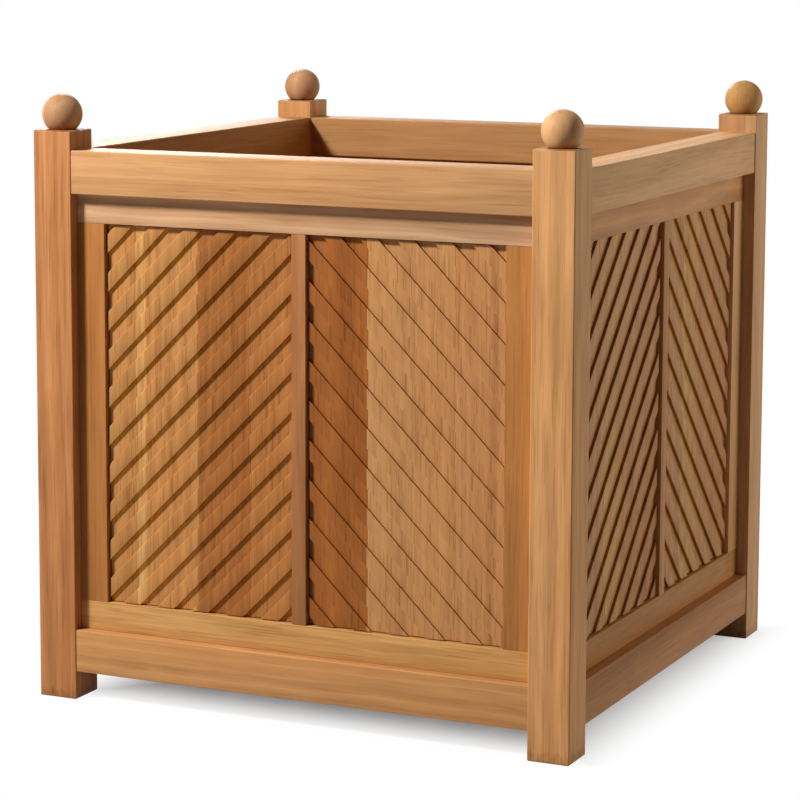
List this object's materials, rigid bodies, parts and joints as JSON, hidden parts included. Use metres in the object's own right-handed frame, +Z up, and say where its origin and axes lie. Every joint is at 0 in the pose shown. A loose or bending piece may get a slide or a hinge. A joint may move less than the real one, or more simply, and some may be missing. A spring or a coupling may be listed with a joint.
{
  "type": "versailles planter",
  "caption": "Square teak garden planter with ball-topped corner posts, thick rails around recessed chevron panels, and a slatted floor.",
  "frame": {"origin": "centre of the footprint, on the ground under the post feet", "axes": "+Z up, -Y the front face, +X the right-hand face as seen from the front"},
  "size_m": [0.6, 0.6, 0.637],
  "materials": {
    "teak_post": "satin",
    "teak_rail": "satin",
    "teak_frame": "satin",
    "teak_panel": "satin",
    "teak_turned": "satin",
    "teak_floor": "matte",
    "screw_steel": "brushed"
  },
  "bodies": {
    "root": {"back_bottom_rail": "teak_rail", "back_cleat": "teak_floor", "back_frame_bottom_rail": "teak_frame", "back_frame_top_rail": "teak_frame", "back_left_finial": "teak_turned", "back_left_panel": "teak_panel", "back_left_post": "teak_post", "back_left_stile": "teak_frame", "back_mullion": "teak_frame", "back_right_finial": "teak_turned", "back_right_panel": "teak_panel", "back_right_post": "teak_post", "back_right_stile": "teak_frame", "back_top_rail": "teak_rail", "floor_bearer": "teak_floor", "floor_slat_1": "teak_floor", "floor_slat_2": "teak_floor", "floor_slat_3": "teak_floor", "floor_slat_4": "teak_floor", "floor_slat_5": "teak_floor", "floor_slat_6": "teak_floor", "floor_slat_7": "teak_floor", "front_bottom_rail": "teak_rail", "front_cleat": "teak_floor", "front_frame_bottom_rail": "teak_frame", "front_frame_top_rail": "teak_frame", "front_left_finial": "teak_turned", "front_left_panel": "teak_panel", "front_left_post": "teak_post", "front_left_stile": "teak_frame", "front_mullion": "teak_frame", "front_right_finial": "teak_turned", "front_right_panel": "teak_panel", "front_right_post": "teak_post", "front_right_stile": "teak_frame", "front_top_rail": "teak_rail", "left_bottom_rail": "teak_rail", "left_frame_bottom_rail": "teak_frame", "left_frame_top_rail": "teak_frame", "left_left_panel": "teak_panel", "left_left_stile": "teak_frame", "left_mullion": "teak_frame", "left_right_panel": "teak_panel", "left_right_stile": "teak_frame", "left_top_rail": "teak_rail", "right_bottom_rail": "teak_rail", "right_frame_bottom_rail": "teak_frame", "right_frame_top_rail": "teak_frame", "right_left_panel": "teak_panel", "right_left_stile": "teak_frame", "right_mullion": "teak_frame", "right_right_panel": "teak_panel", "right_right_stile": "teak_frame", "right_top_rail": "teak_rail"}
  },
  "joints": []
}
